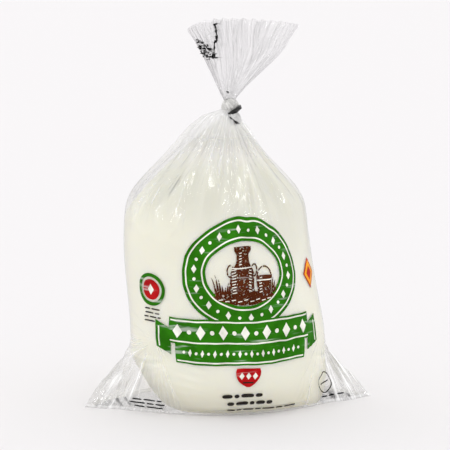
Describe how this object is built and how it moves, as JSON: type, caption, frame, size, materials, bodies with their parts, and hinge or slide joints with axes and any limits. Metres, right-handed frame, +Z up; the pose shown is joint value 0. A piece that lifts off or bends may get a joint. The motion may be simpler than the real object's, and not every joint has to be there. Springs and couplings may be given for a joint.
{
  "type": "bagged mozzarella ball",
  "caption": "Clear knotted film bag that stands upright, filled with milky whey and one soft white cheese ball; flat empty corners and a pleated end.",
  "frame": {"origin": "middle of the footprint, on the surface that the bag stands on", "axes": "+Z up, X along the bag's flat width from corner to corner, -Y the printed front"},
  "size_m": [0.1605, 0.0954, 0.2102],
  "materials": {
    "milky_film": "gloss"
  },
  "bodies": {
    "root": {"filled_bag": "milky_film"}
  },
  "joints": []
}
